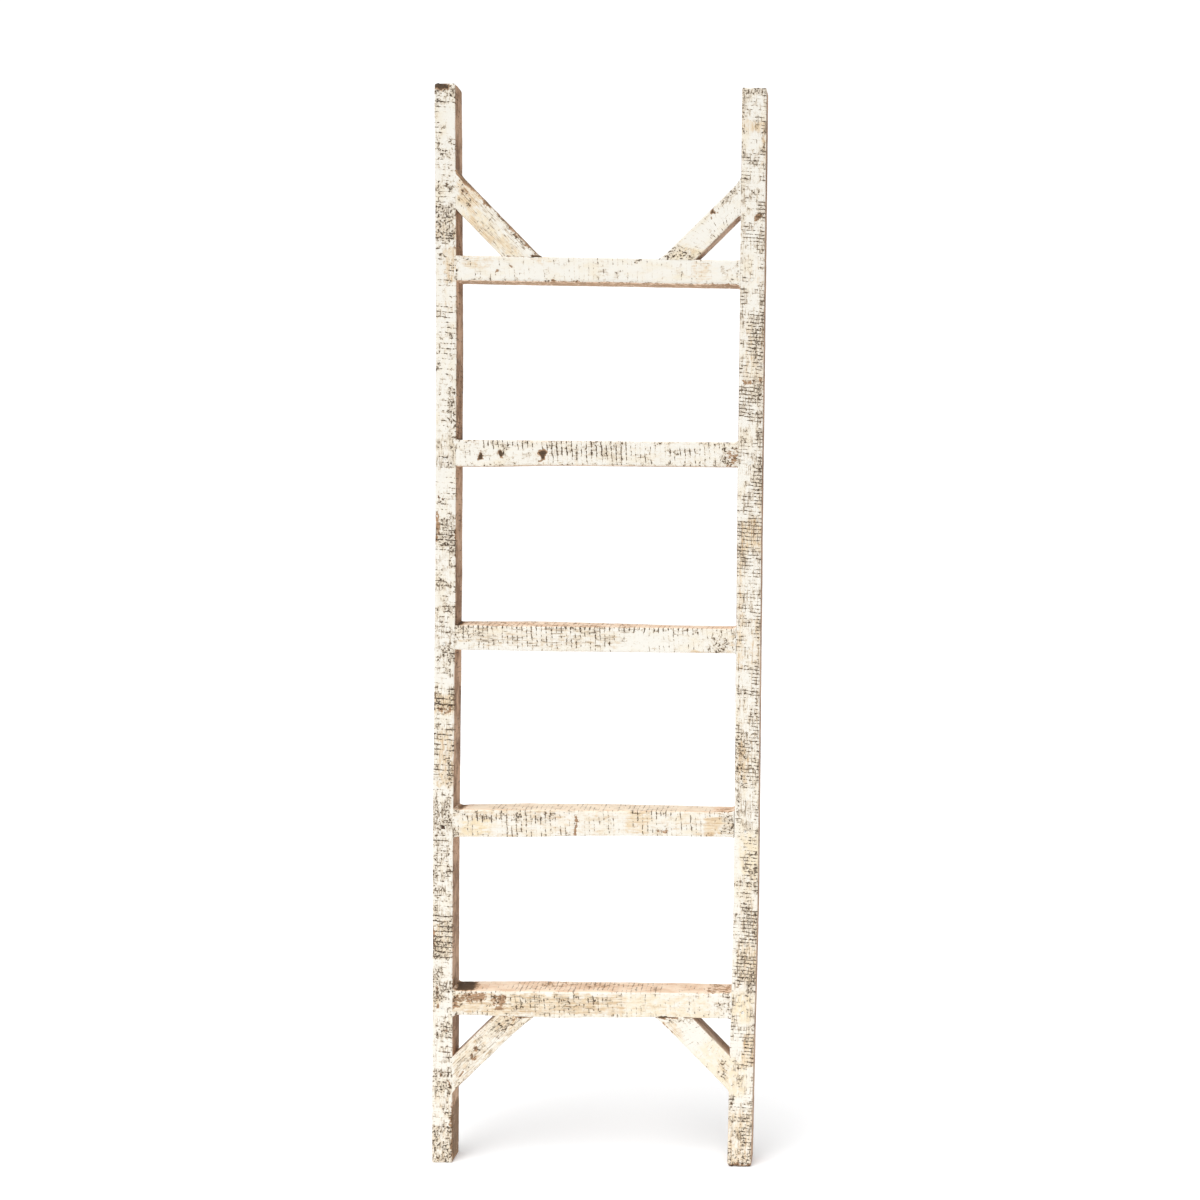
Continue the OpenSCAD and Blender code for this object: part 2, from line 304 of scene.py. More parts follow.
# Worn places on the long edges. On a rail they are in metres: side, depth side, middle, half
# length, size. On a rung they are on the front edges: side, then middle and half length as shares
# of the length, and size in millimetres.
RAIL_CHIPS = {
    "left_rail": [
        (1, -1, 1.474, 0.016, 2 * MM), (1, -1, 0.05, 0.05, 2 * MM), (-1, -1, 0.245, 0.01, 1.5 * MM),
    ],
    "right_rail": [
        (1, -1, 0.03, 0.04, 1.6 * MM), (-1, -1, 0.89, 0.05, 1 * MM), (1, -1, 1.4, 0.05, 0.8 * MM),
    ],
}
RUNG_CHIPS = {
    "rung_1": [(-1, 0.3, 0.2, 1.6), (-1, 0.62, 0.22, 3), (-1, 0.9, 0.15, 3.2)],
    "rung_2": [(1, 0.3, 0.12, 1), (-1, 0.55, 0.2, 0.8)],
    "rung_3": [(1, 0.25, 0.3, 1.2), (1, 0.7, 0.15, 0.8)],
    "rung_4": [(1, 0.08, 0.1, 2), (1, 0.6, 0.3, 1.4)],
    "rung_5": [(1, 0.08, 0.1, 2.4), (1, 0.45, 0.25, 1.2), (1, 0.93, 0.08, 2.4)],
}

# The long lines down the rails' fronts along which they are worn: kind, side, half width, strength.
RAIL_COLUMNS = {
    "left_rail": [("pits", -0.62, 1.8 * MM, 0.26), ("pits", 0.52, 1.8 * MM, 0.28)],
    "right_rail": [
        ("saw", 0.78, 2.4 * MM, 0.2), ("saw", -0.8, 2.0 * MM, 0.06),
        ("pits", 0.35, 1.4 * MM, 0.24), ("pits", 0.84, 1.6 * MM, 0.22), ("pits", -0.7, 1.4 * MM, 0.18),
    ],
}

# How worn each rung and brace is between its patches, where a rail is 1.
RUNG_WORN = {"rung_1": 0.3, "rung_2": 0.8, "rung_3": 0.7, "rung_4": 0.8, "rung_5": 0.8}
BRACE_WORN = 0.45

# How far the rows of saw marks stray on each rail.
RAIL_WANDER = {"left_rail": 1.2 * MM, "right_rail": 1.1 * MM}

# The small hole above each nail: its radius, and how far its floor lies past the nail's head.
HOLE_RADIUS = 2.7 * MM
HOLE_PAST_HEAD = 0.5 * MM

# The extra rounding of the rails' ends: end (0 is the foot), side, depth side, size. 0 is no side.
RAIL_END_WEAR = {
    "left_rail": [(1, 1, 1, 2 * MM), (1, -1, -1, 2 * MM), (1, 0, -1, 1.5 * MM)],
    "right_rail": [(1, 0, -1, 1 * MM), (0, 1, 0, 3 * MM), (0, -1, 0, 5 * MM)],
}

# The fillets that paint and filler leave in the corners of the joints: end, side, reach and size in
# millimetres. End 0 is the left end of a rung and the rail's end of a brace.
RUNG_FILLETS = {
    "rung_1": [(0, -1, 6, 2.5), (1, -1, 8, 2.5), (0, 1, 4, 1.2), (1, 1, 4, 1.2)],
    "rung_2": [(0, 1, 9, 4.5), (0, -1, 5, 1.5), (1, 1, 7, 3), (1, -1, 6, 2)],
    "rung_3": [(0, 1, 7, 3), (0, -1, 6, 2.5), (1, 1, 7, 3.5), (1, -1, 5, 1.5)],
    "rung_4": [(0, 1, 8, 3), (0, -1, 8, 4), (1, 1, 6, 2.5), (1, -1, 6, 2)],
    "rung_5": [(0, 1, 8, 3), (0, -1, 9, 5.5), (1, 1, 6, 2.5), (1, -1, 7, 3)],
}
BRACE_FILLETS = {
    "top_left": [(0, 1, 9, 2.5), (1, 1, 14, 3.5), (0, -1, 6, 1.5), (1, -1, 5, 1.5)],
    "top_right": [(0, 1, 14, 3), (1, 1, 14, 3), (0, -1, 8, 3), (1, -1, 5, 1.5)],
    "bottom_left": [(0, 1, 6, 1.5), (1, 1, 45, 4.5), (0, -1, 6, 1.5), (1, -1, 6, 1.5)],
    "bottom_right": [(0, 1, 12, 3), (1, 1, 12, 3), (0, -1, 6, 1.5), (1, -1, 6, 1.5)],
}


# ---- smooth random numbers

def lattice_noise(points, cell, seed):
    """Smooth values from -1 to 1 at (n, 3) points, from a lattice with that cell size on each axis."""
    scaled = points / np.asarray(cell)
    base = np.floor(scaled).astype(int)
    share = scaled - base
    share = share * share * (3 - 2 * share)
    base -= base.min(axis=0)
    grid = np.random.default_rng(seed).uniform(-1, 1, base.max(axis=0) + 2)
    total = np.zeros(len(points))
    for corner in itertools.product((0, 1), repeat=3):
        weight = np.prod(np.where(corner, share, 1 - share), axis=1)
        at = base + corner
        total += weight * grid[at[:, 0], at[:, 1], at[:, 2]]
    return total


def ramp(values, low, high):
    """0 below low, 1 above high, and smooth between."""
    share = np.clip((values - low) / (high - low), 0, 1)
    return share * share * (3 - 2 * share)


def inside(values, low, high, margin):
    """1 between low and high, falling to 0 over the margin on both sides."""
    return ramp(values, low - margin, low + margin) * (1 - ramp(values, high - margin, high + margin))


def half_gap(values, size):
    """How far inside the faces at plus and minus half the size each value is."""
    return size / 2 - np.abs(values)


# ---- one timber

def section_loop(width, depth, counts):
    """Points round a width by depth rectangle, closest together at the corners.

    counts is how many steps lie on half of a wide side and on half of a deep side.
    """
    corners = [(-1, -1), (1, -1), (1, 1), (-1, 1)]
    loop = []
    for place, ((x0, y0), (x1, y1)) in enumerate(zip(corners, corners[1:] + corners[:1])):
        half = np.linspace(0, 1, counts[place % 2] + 1) ** 1.35 / 2
        for share in np.concatenate([half, 1 - half[-2::-1]])[:-1]:
            x = (x0 + (x1 - x0) * share) * width / 2
            y = (y0 + (y1 - y0) * share) * depth / 2
            loop.append((x, y))
    return np.array(loop)


def ring_places(length, step, pockets):
    """Places of the rings along a timber, closer together at each nail pocket."""
    places = [np.linspace(0, length, max(2, round(length / step)) + 1)]
    for middle in pockets:
        places.append(np.arange(middle - 5 * MM, middle + 5 * MM, 0.6 * MM))
    merged = np.unique(np.concatenate(places))
    merged = merged[(merged >= 0) & (merged <= length)]
    keep = np.concatenate([[True], np.diff(merged) > 0.25 * MM])
    return merged[keep]


def add_object(name, data):
    """A new object in the scene."""
    made = bpy.data.objects.new(name, data)
    bpy.context.scene.collection.objects.link(made)
    return made


class Timber:
    """A piece of sawn wood: its place, its wear and its mesh.

    origin is the middle of the section at the start, along runs down the wood and across lies over
    its face, both unit vectors. A point of the timber is (run, over, deep): how far it is from the
    start, over the face from the middle line, and back from there. The keyword settings are:
    patches: where it is worn, and where shade is painted on it, as above but in metres.
    trims: for each end, how far the cut runs on for each metre across, so 1 or -1 for a mitre.
    bend: places and offsets of the line that the middle follows.
    crown: places and heights of the back of the upper side above its front.
    hang: places and depths by which the lower side hangs down.
    shielded: (side, low, high) stretches of the front edges which a joint has kept sharp.
    chips: (side, depth side, middle, half length, size) of worn places on the long edges.
    fillets: (end, side, reach, size) in mm of the paint and filler in the corners of its joints.
    open_ends: for each end, whether it is rounded and in sight.
    end_wear: (end, side, depth side, size) of the extra rounding on an open end.
    pockets: (place, across, depth, radius) of the nail holes in the front.
    pitch: the distance from one row of saw marks to the next, and wander: how far they stray.
    worn: how worn it is between the patches, 1 on the rails.
    columns: (kind, side, half width, strength) of the long lines along which its front is worn.
    steps: the fineness of its mesh, as at the top.
    """

    # The dents of the surface: height and cell size in millimetres, and the salt of their noise.
    DENTS = [
        (0.26, (70, 30, 30), 51), (0.14, (12, 9, 9), 52),
        (0.08, (3.5, 12, 12), 53), (0.06, (30, 2.6, 2.6), 54),
    ]
    SAW_DEPTH_MM = 0.20
    BARE_DEPTH_MM = 0.35

    STRAIGHT = ([0.0], [0.0])
    DEFAULTS = {
        "trims": (0.0, 0.0), "bend": STRAIGHT, "crown": STRAIGHT, "hang": STRAIGHT, "shielded": (),
        "chips": (), "fillets": (), "open_ends": (False, False), "end_wear": (), "pockets": (),
        "wander": 1.2 * MM, "worn": 1.0, "columns": (), "steps": RAIL_STEPS,
    }

    def __init__(self, name, origin, along, across, size, seed, **settings):
        self.name = name
        self.origin = np.array(origin)
        self.along = np.array(along)
        self.across = np.array(across)
        self.length, self.width, self.depth = size
        self.seed = seed
        for key, value in {**self.DEFAULTS, **settings}.items():
            setattr(self, key, value)

    def grid(self):
        """The (run, over, deep) of every ring's points, before any wear."""
        step, counts = self.steps
        loop = section_loop(self.width, self.depth, counts)
        places = ring_places(self.length, step, [pocket[0] for pocket in self.pockets])
        run = np.repeat(places, len(loop))
        over = np.tile(loop[:, 0], len(places))
        deep = np.tile(loop[:, 1], len(places))
        return len(places), len(loop), np.column_stack([run, over, deep])

    def noise(self, here, cell_mm, salt):
        """Smooth noise from -1 to 1 over this timber. Every salt gives a pattern of its own."""
        return lattice_noise(here, np.array(cell_mm) * MM, self.seed + salt)

    def edge_radius(self, here):
        """How far the long edge nearest to each point is worn round."""
        run, over, deep = here.T
        corner = (over > 0) * 2 + (deep > 0)
        on_line = here * (1, 0, 0)
        radius = np.zeros(len(run))
        for edge in range(4):
            slow = self.noise(on_line, (45, 1, 1), 11 * edge)
            quick = self.noise(on_line, (7, 1, 1), 11 * edge + 1)
            worn = (1.5 + 0.7 * slow + 0.5 * quick) * MM
            for side, depth_side, middle, half, size in self.chips:
                if (side > 0) * 2 + (depth_side > 0) == edge:
                    near = 1 - ramp(np.abs(run - middle), half * 0.3, half)
                    worn = worn + size * near * (1 + 0.4 * quick)
            for side, low, high in self.shielded:
                if (side > 0) * 2 == edge:
                    worn = worn * (1 - 0.75 * inside(run, low, high, 3 * MM))
            radius = np.where(corner == edge, worn, radius)
        return np.clip(radius, 0.35 * MM, 0.35 * min(self.width, self.depth))

    def end_inset(self, here):
        """How far each point draws in towards the middle to round an open end."""
        run, over, deep = here.T
        inset = np.zeros(len(run))
        for end in (0, 1):
            if not self.open_ends[end]:
                continue
            size = (1.9 + 0.8 * self.noise(here * (0, 1, 1), (1, 7, 7), 60 + end)) * MM
            for worn_end, side, depth_side, more in self.end_wear:
                if worn_end == end:
                    where = ramp(over * side / self.width * 2, -0.3, 0.9) if side else 1.0
                    if depth_side:
                        where = where * ramp(deep * depth_side / self.depth * 2, -0.3, 0.9)
                    size = size + more * where
            gone = self.length - run if end else run
            near = np.clip(size - gone, 0, size)
            inset += size - np.sqrt(np.maximum(size ** 2 - near ** 2, 0))
        return inset

    def saw_phase(self, here):
        """The phase of the saw marks, which run a little askew and uneven over the wood."""
        askew = 0.06 * here[:, 1] + 1.1 * MM * self.noise(here, (60, 40, 40), 90)
        askew += self.wander * self.noise(here, (11, 8, 8), 91)
        return (here[:, 0] + askew) * 2 * math.pi / self.pitch

    def surface(self, here, masks):
        """Rounds the edges and roughens the faces: the new over and deep of every point."""
        run, over, deep = here.T
        radius = self.edge_radius(here)
        half_width = self.width / 2
        half_depth = self.depth / 2
        core_over = np.clip(over, -half_width + radius, half_width - radius)
        core_deep = np.clip(deep, -half_depth + radius, half_depth - radius)
        outward = np.column_stack([over - core_over, deep - core_deep])
        outward /= np.maximum(np.linalg.norm(outward, axis=1, keepdims=True), 1e-9)
        height = sum(size * self.noise(here, cell, salt) for size, cell, salt in self.DENTS)
        height -= self.SAW_DEPTH_MM * masks["saw"] * ramp(np.sin(masks["phase"]), 0.0, 1.0)
        bare = masks["bare"] + 0.25 * self.noise(here, (6, 5, 5), 55)
        height -= self.BARE_DEPTH_MM * ramp(bare, 0.3, 0.6)
        reach = radius + height * MM - self.end_inset(here)
        across = core_over + outward[:, 0] * reach
        depth = core_deep + outward[:, 1] * reach
        lift = np.interp(run, *self.crown) * (0.5 + depth / self.depth)
        across += lift * ramp(across / half_width, 0.0, 1.0)
        across -= np.interp(run, *self.hang) * ramp(-across / half_width, 0.0, 1.0)
        for end, side, far, size in self.fillets:
            gone = np.clip((self.length - run if end else run) / (far * MM), 0, 1)
            across += side * size * MM * (1 - gone) ** 2 * np.clip(across * side / half_width, 0, 1)
        return across, depth

    def sink_pockets(self, here, across, depth):
        """Opens the small hole above each nail."""
        for place, middle, drop, radius in self.pockets:
            reach = np.hypot(here[:, 0] - place, across - middle)
            front = here[:, 2] <= -self.depth / 2 + TINY
            hole = (1 - ramp(reach, radius, radius + 0.9 * MM)) * front
            depth = depth + hole * (-self.depth / 2 + drop - depth)
        return depth

    def unfolded(self, here):
        """The side coordinate of the patches: over the front, then on over the two sides."""
        over, deep = here[:, 1], here[:, 2]
        half_width = self.width / 2
        back = (deep + self.depth / 2) / half_width
        on_side = half_gap(over, self.width) < TINY
        return np.where(on_side, np.sign(over) * (1 + back), over / half_width)

    def masks(self, here):
        """The wear attributes, with the painted shade among them, one value a point."""
        run, over, deep = here.T
        ragged = self.noise(here, (9, 7, 7), 71)
        fine = self.noise(here, (3.5, 3, 3), 72)
        side_at = self.unfolded(here) + 0.24 * ragged + 0.08 * fine
        run_at = run + (4.0 * ragged + 1.5 * fine) * MM
        front = deep < self.depth / 2 - TINY
        found = {kind: np.zeros(len(run)) for kind in KINDS}
        for kind, start, end, low, high, strength in self.patches:
            # A patch that reaches an edge goes well past it, so that the edge is worn in full.
            low = low if low != -1 else -1.4
            high = high if high != 1 else 1.4
            soft = min(8 * MM, (end - start) * 0.45)
            cover = inside(run_at, start, end, soft) * inside(side_at, low, high, 0.22)
            found[kind] = np.maximum(found[kind], strength * cover * front)
        # Between the patches, the whole face is lightly worn.
        slow = self.noise(here, (34, 15, 15), 75)
        patchy = self.noise(here, (70, 25, 25), 76)
        found["saw"] = np.maximum(found["saw"], self.worn * (0.26 + 0.38 * slow) * front)
        found["pits"] = np.maximum(found["pits"], self.worn * (0.13 - 0.28 * slow) * front)
        # The marks are stronger along certain lines down the front.
        on_face = front * (np.abs(deep) > self.depth / 2 - TINY)
        for kind, place, half, strength in self.columns:
            off_line = np.abs(over - place * self.width / 2 + 0.7 * MM * fine)
            line = 1 - ramp(off_line, half * 0.5, half * 1.5)
            found[kind] += strength * (1 + 1.6 * patchy) * line * on_face
        # The back is painted like the front, with its own broad patches of wear.
        broad = self.noise(here, (60, 30, 30), 73)
        streak = self.noise(here, (25, 20, 20), 74)
        back = 1.0 - front
        found["saw"] += back * 0.8 * ramp(broad, -0.1, 0.5)
        found["pits"] += back * 0.8 * ramp(streak, 0.0, 0.6)
        found["tan"] += back * 0.7 * ramp(-broad, 0.1, 0.5)
        found["bare"] += back * 0.6 * ramp(broad + streak, 0.6, 1.0)
        off_face = np.minimum(half_gap(over, self.width), 8 * MM)
        off_face -= np.minimum(half_gap(deep, self.depth), 8 * MM)
        found["side"] = 1 - ramp(off_face + (0.7 * ragged + 0.5 * fine) * MM, -1.2 * MM, 0.4 * MM)
        found["phase"] = self.saw_phase(here)
        return found

    def meet_ends(self, run, across):
        """Slides the rings so that they meet the cut ends: the new run of every point."""
        first = self.trims[0] * across
        last = self.length + self.trims[1] * across
        return first + run / self.length * (last - first)

    def cap(self, end, ring, local):
        """Rings of points that close an end, down to the one point in its middle."""
        rim = local[ring]
        shrink = (0.93, 0.8, 0.62, 0.42, 0.2) if self.open_ends[end] else (0.5,)
        way = 1 if end else -1
        rings = []
        for scale in shrink:
            points = rim * (1, scale, scale)
            points[:, 0] += self.trims[end] * rim[:, 1] * (scale - 1)
            if self.open_ends[end]:
                rough = self.noise(points * (0, 1, 1), (1, 5, 5), 80)
                points[:, 0] += way * (0.2 * rough - 0.25 * (1 - scale)) * MM
            rings.append(points)
        rings.append(np.array([[rings[-1][:, 0].mean(), 0.0, 0.0]]))
        return rings

    def world(self, local):
        """Timber coordinates to the row frame."""
        run, over, deep = local.T
        points = self.origin + np.outer(run, self.along) + np.outer(over, self.across)
        points[:, 1] += deep
        return points + np.outer(np.interp(run, *self.bend), self.across)

    def build(self):
        """Makes the Blender object."""
        rings, loop, here = self.grid()
        masks = self.masks(here)
        across, depth = self.surface(here, masks)
        depth = self.sink_pockets(here, across, depth)
        local = np.column_stack([self.meet_ends(here[:, 0], across), across, depth])
        index = np.arange(rings * loop).reshape(rings, loop)
        if np.cross(self.across, self.along)[1] > 0:
            # The loop runs the other way round here, so the faces turn to look outwards.
            index = index[:, ::-1]
        ahead = np.roll(index, -1, axis=1)
        quads = [np.stack([index[:-1], ahead[:-1], ahead[1:], index[1:]], axis=-1).reshape(-1, 4)]
        fans = []
        parts = [local]
        total = rings * loop
        for end, rim in ((0, index[0]), (1, index[-1])):
            turn = 1 if end else -1
            for points in self.cap(end, rim, local):
                parts.append(points)
                inner = np.arange(total, total + len(points))
                total += len(points)
                if len(points) > 1:
                    band = np.stack([rim, np.roll(rim, -1), np.roll(inner, -1), inner], axis=-1)
                    quads.append(band[:, ::turn])
                else:
                    fan = np.stack([rim, np.roll(rim, -1), np.repeat(inner, loop)], axis=-1)
                    fans.append(fan[:, ::turn])
                rim = inner
        everything = np.concatenate(parts)
        mesh = bpy.data.meshes.new(self.name)
        faces = np.concatenate(quads).tolist() + np.concatenate(fans).tolist()
        mesh.from_pydata(self.world(everything).tolist(), [], faces)
        extra = len(everything) - len(here)
        for kind, values in masks.items():
            filled = {"side": 1.0, "pits": 0.4}.get(kind, 0.0)
            masks[kind] = np.concatenate([values, np.full(extra, filled)])
        self.store(mesh, everything, masks)
        mesh.shade_smooth()
        return add_object(self.name, mesh)

    def store(self, mesh, local, masks):
        """Keeps the grain coordinates and the wear on the mesh."""
        shift = np.random.default_rng(self.seed).uniform(1, 9, 3)
        grain = mesh.attributes.new("grain", "FLOAT_VECTOR", "POINT")
        grain.data.foreach_set("vector", (local + shift).astype(np.float32).ravel())
        for kind, values in masks.items():
            layer = mesh.attributes.new(kind, "FLOAT", "POINT")
            layer.data.foreach_set("value", values.astype(np.float32))


# ---- materials

def srgb(red, green, blue):
    """A screen colour, 0 to 255, as the linear colour that shaders take."""
    def linear(value):
        value /= 255
        return value / 12.92 if value <= 0.04045 else ((value + 0.055) / 1.055) ** 2.4
    return (linear(red), linear(green), linear(blue), 1.0)


class Nodes:
    """A short way to write a material's node tree."""

    def __init__(self, name):
        self.material = bpy.data.materials.new(name)
        self.material.use_nodes = True
        self.tree = self.material.node_tree
        self.tree.nodes.clear()

    def add(self, kind, inputs=(), **settings):
        """Adds a node, sets its settings, and fills its inputs with values or other sockets."""
        node = self.tree.nodes.new(kind)
        for key, value in settings.items():
            setattr(node, key, value)
        for key, value in dict(inputs).items():
            if isinstance(value, bpy.types.NodeSocket):
                self.tree.links.new(value, node.inputs[key])
            else:
                node.inputs[key].default_value = value
        return node

    def math(self, operation, first, second=0.0, third=0.0):
        inputs = {0: first, 1: second, 2: third}
        return self.add("ShaderNodeMath", inputs, operation=operation).outputs[0]

    def times(self, first, second, plus=0.0):
        return self.math("MULTIPLY_ADD", first, second, plus)

    def larger(self, first, second):
        return self.math("MAXIMUM", first, second)

    def attribute(self, name, output="Fac"):
        return self.add("ShaderNodeAttribute", attribute_name=name).outputs[output]

    def noise(self, vector, cell_mm, detail=2.0, roughness=0.5):
        """Noise whose blobs are about cell_mm big along, across and through the wood."""
        scale = tuple(1000.0 / size for size in cell_mm)
        scaled = self.add("ShaderNodeVectorMath", {0: vector, 1: scale}, operation="MULTIPLY")
        inputs = {"Vector": scaled.outputs[0], "Scale": 1.0, "Detail": detail, "Roughness": roughness}
        return self.add("ShaderNodeTexNoise", inputs).outputs["Fac"]

    def deviation(self, vector, cell_mm, detail=3.0, roughness=0.6):
        """Such noise about 0, in units of roughly its standard deviation."""
        return self.times(self.noise(vector, cell_mm, detail, roughness), 8.0, -4.0)

    def between(self, value, low, high, smooth=True):
        """value's place between low and high, from 0 to 1."""
        kind = "SMOOTHSTEP" if smooth else "LINEAR"
        inputs = {"Value": value, "From Min": low, "From Max": high, "To Min": 0.0, "To Max": 1.0}
        return self.add("ShaderNodeMapRange", inputs, interpolation_type=kind, clamp=True).outputs[0]

    def mix(self, share, first, second):
        """The first colour where share is 0, and the second where it is 1."""
        inputs = {0: share, 6: first, 7: second}
        return self.add("ShaderNodeMix", inputs, data_type="RGBA").outputs[2]

    def finish(self, colour, roughness, height, distance, **settings):
        """Ends the tree in a Principled shader with a bump from height, distance deep."""
        bump = self.add("ShaderNodeBump", {"Height": height, "Distance": distance, "Strength": 1.0})
        shader = self.add("ShaderNodeBsdfPrincipled", {
            "Base Color": colour, "Roughness": roughness, "Normal": bump.outputs[0], **settings})
        output = self.add("ShaderNodeOutputMaterial")
        self.tree.links.new(shader.outputs[0], output.inputs["Surface"])
        return self.material


PAINT = srgb(239, 235, 225)
WARM_PAINT = srgb(237, 227, 206)
YELLOW = srgb(238, 221, 187)
HAZE = srgb(206, 188, 163)
PEACH = srgb(234, 214, 182)
TAN = srgb(203, 172, 133)
BROWN = srgb(144, 116, 88)
RUSSET = srgb(180, 144, 112)
DARK = srgb(56, 43, 30)
NAIL_DARK = srgb(46, 36, 30)
RUST = srgb(92, 66, 48)
FLOOR_DIM = srgb(246, 246, 246)
FLOOR_BRIGHT = srgb(250, 250, 250)


def whitewashed_wood(name, side_light, side_dark, wash, wear):
    """Rough-sawn wood under dry-brushed cream paint.

    side_light and side_dark are the colours of the bare sides, which the rails' material also darkens
    as painted shade on sides turned from the light; wash is how much thin paint they keep, and wear
    raises the speckle over all of the painted faces.
    """
    wood = Nodes(name)
    grain = wood.attribute("grain", "Vector")
    saw, pits, lines, tan, bare, yellow = (wood.attribute(kind) for kind in KINDS)
    side = wood.attribute("side")
    times, larger, between, mix = wood.times, wood.larger, wood.between, wood.mix

    dash = wood.deviation(grain, (2.8, 4.0, 4.0), detail=3.5, roughness=0.62)
    speck = wood.deviation(grain, (3.6, 3.4, 3.4), detail=3.5, roughness=0.65)
    scratch = wood.deviation(grain, (17.0, 1.8, 1.8), detail=2.5)
    cluster = wood.deviation(grain, (10.0, 13.0, 13.0), detail=2.0)
    drift = wood.deviation(grain, (11.0, 6.0, 6.0), roughness=0.65)
    cloud = wood.deviation(grain, (42.0, 20.0, 20.0))
    fibre = wood.deviation(grain, (50.0, 1.3, 1.3))
    wave = times(wood.math("SINE", wood.attribute("phase")), 0.5, 0.5)
    ridge = wood.math("POWER", wave, 7.0)

    # The low marks of the saw and the grain, where the brush left no paint.
    ease = times(cloud, 0.25, times(cluster, 0.8))
    ease = times(ease, wear)

    def past_bar(marks, mask, high, fall, least):
        """How far marks stand above a bar, which starts high and falls as the mask grows."""
        lowered = wood.math("SUBTRACT", times(mask, -fall, high), ease)
        return wood.math("SUBTRACT", marks, larger(lowered, least))

    rows = times(ridge, 1.9, times(dash, 0.95, -0.45))
    rows = past_bar(rows, saw, high=2.7, fall=2.9, least=0.35)
    specks = past_bar(speck, pits, high=2.5, fall=2.7, least=0.35)
    sunk = larger(rows, specks)
    line_high = times(larger(saw, pits), -1.7, 2.5)
    lined = past_bar(scratch, lines, high=line_high, fall=1.7, least=0.6)
    pitted = times(between(lined, -0.2, 0.5), 0.6)
    pitted = larger(pitted, between(sunk, -0.08, 0.32))

    # Stains, bare places and painted shade, with ragged edges.
    lost_paint_and_shade = times(bare, 2.3, times(drift, 0.35))
    lost_paint_and_shade = between(times(speck, 0.25, lost_paint_and_shade), 1.0, 1.45)
    stain = times(tan, 2.2, times(drift, 0.45))
    stain = between(times(fibre, 0.25, stain), 0.7, 2.4)
    thin = times(between(larger(sunk, lined), -1.4, 0.25), 0.85)

    paint = mix(between(cloud, -0.6, 2.2), PAINT, WARM_PAINT)
    yellowed = times(yellow, between(drift, -1.6, 0.8))
    paint = mix(yellowed, paint, YELLOW)
    paint = mix(thin, paint, HAZE)
    paint = mix(stain, paint, mix(between(fibre, -0.6, 1.4), PEACH, TAN))

    streaked = between(times(fibre, 0.5, cloud), -1.0, 1.2)
    sides = mix(streaked, side_light, side_dark)
    kept = times(between(drift, 0.4, 1.6), wash)
    kept = larger(kept, times(yellow, 0.6))
    sides = mix(kept, sides, WARM_PAINT)
    # The bare places go nearly black where they are strongest. This is deep wear, and painted shade in
    # the joint corners.
    bare_wood_and_shade = mix(between(scratch, -0.8, 1.2), RUSSET, BROWN)
    bare_wood_and_shade = mix(times(between(bare, 0.65, 0.9), 0.85), bare_wood_and_shade, DARK)
    dark_wood = mix(between(fibre, -0.5, 2.6), DARK, BROWN)

    colour = mix(side, paint, sides)
    colour = mix(lost_paint_and_shade, colour, bare_wood_and_shade)
    shown = times(pitted, times(side, -0.35, 0.95))
    colour = mix(shown, colour, dark_wood)

    roughness = between(drift, -9.0, 3.5, smooth=False)
    relief = times(pitted, -0.9, times(scratch, 0.07))
    relief = times(lost_paint_and_shade, -0.5, relief)
    relief = times(speck, 0.07, relief)
    return wood.finish(colour, roughness, relief, 0.4 * MM, **{"Specular IOR Level": 0.25})


def nail_steel(name, cover):
    """Dull, rusted nail steel with paint over about a cover's share of it."""
    steel = Nodes(name)
    place = steel.add("ShaderNodeTexCoord").outputs["Object"]
    blotch = steel.deviation(place, (1.6, 1.6, 1.6))
    colour = steel.mix(steel.between(blotch, -1.0, 0.8), NAIL_DARK, RUST)
    bar = 1.8 - 3.2 * cover
    painted = steel.between(blotch, bar, bar + 0.4)
    colour = steel.mix(painted, colour, PAINT)
    metallic = steel.times(painted, -0.4, 0.4)
    roughness = steel.between(blotch, -9.0, 4.0, smooth=False)
    return steel.finish(colour, roughness, blotch, 0.1 * MM, Metallic=metallic)


def pale_floor(name):
    """A plain white studio floor with a trace of unevenness."""
    stone = Nodes(name)
    place = stone.add("ShaderNodeTexCoord").outputs["Object"]
    cloud = stone.noise(place, (900.0, 900.0, 900.0))
    colour = stone.mix(cloud, FLOOR_DIM, FLOOR_BRIGHT)
    glow = {"Emission Color": colour, "Emission Strength": 0.12, "Specular IOR Level": 0.0}
    return stone.finish(colour, 0.9, cloud, 0.1 * MM, **glow)


# ---- the ladder's timbers

def patches_of(unit, *tables):
    """The patches of some tables, as (kind, start, end, low side, high side, strength).

    Their places are in metres, and unit is what 1 stands for in the tables.
    """
    return [
        (kind, start * unit, end * unit, *rest)
        for listed in tables for kind, patches in listed.items() for start, end, *rest in patches]


def curve_of(pairs, unit):
    """A bend's places and offsets in metres, where 1 is a unit along the wood."""
    places, offsets = zip(*pairs)
    return np.array(places) * unit, np.array(offsets) * MM


def joints_on_rail(side):
    """The stretches of a rail's inner edge that a rung or brace covers, as (side, low, high)."""
    word = "left" if side > 0 else "right"
    covering = [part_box(name) for name in (*RUNGS, f"top_{word}_brace", f"bottom_{word}_brace")]
    return [(side, lo[2], hi[2]) for lo, hi in covering]


